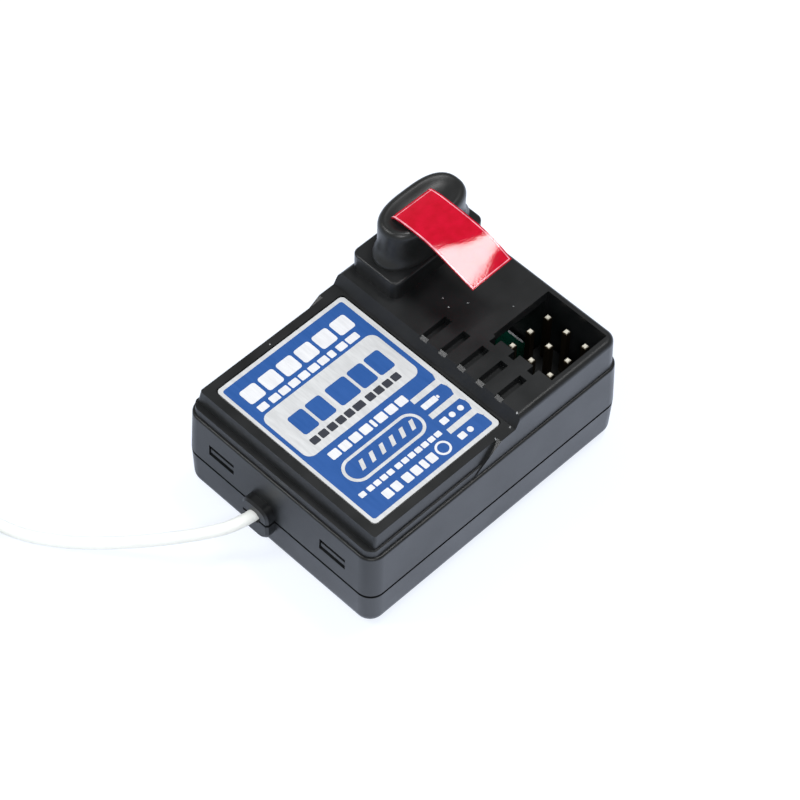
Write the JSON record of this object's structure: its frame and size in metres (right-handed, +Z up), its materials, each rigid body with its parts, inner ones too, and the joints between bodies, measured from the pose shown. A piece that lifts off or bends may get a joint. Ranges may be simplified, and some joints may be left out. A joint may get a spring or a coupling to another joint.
{
  "type": "radio control receiver",
  "caption": "Small boxed radio control receiver with a stepped label recess, finger slots, a keyed pin pocket, a plug-in crystal with a pull tab, and a wire antenna leaving a moulded spout.",
  "frame": {"origin": "middle of the case's underside, leaving out the antenna and its spout", "axes": "+X from the antenna end to the connector end, +Y from the pin pocket's side to the crystal's side, +Z up"},
  "size_m": [0.0728, 0.0475, 0.0222],
  "materials": {
    "case_plastic": "fine satin moulding with glossy edges",
    "label_foil": "printed brushed foil, semi gloss",
    "board_green": "solder mask, semi gloss",
    "black_moulding": "satin",
    "gold_plate": "plated, bright",
    "tinned_metal": "dull bright",
    "can_steel": "satin",
    "tab_red": "glossy film",
    "pale_moulding": "matt",
    "ferrite": "matt",
    "filter_tan": "satin",
    "capacitor_sleeve": "satin",
    "bung_rubber": "matt",
    "chip_ceramic": "matt",
    "wire_cover": "smooth soft covering"
  },
  "bodies": {
    "root": {"bottom_case": "case_plastic", "top_case": "case_plastic", "label_plate": "label_foil", "circuit_board": "board_green", "header_block": "black_moulding", "battery_pins": "gold_plate", "channel_2_pins": "gold_plate", "channel_1_pins": "gold_plate", "crystal_cap": "black_moulding", "crystal_can": "can_steel", "crystal_leads": "tinned_metal", "crystal_socket": "black_moulding", "socket_contacts": "gold_plate", "pull_tab": "tab_red", "tuning_bases": "pale_moulding", "tuning_cans": "can_steel", "tuning_cores": "ferrite", "ceramic_filter": "filter_tan", "receiver_chip": "black_moulding", "receiver_chip_legs": "tinned_metal", "decoder_chip": "black_moulding", "decoder_chip_legs": "tinned_metal", "capacitor_cans": "capacitor_sleeve", "capacitor_bungs": "bung_rubber", "regulator": "black_moulding", "regulator_legs": "tinned_metal", "chip_resistors": "chip_ceramic", "chip_capacitors": "chip_ceramic", "antenna_conductor": "tinned_metal", "antenna_solder": "tinned_metal", "antenna_wire": "wire_cover", "antenna_coil": "wire_cover", "coil_tie": "black_moulding"}
  },
  "joints": []
}
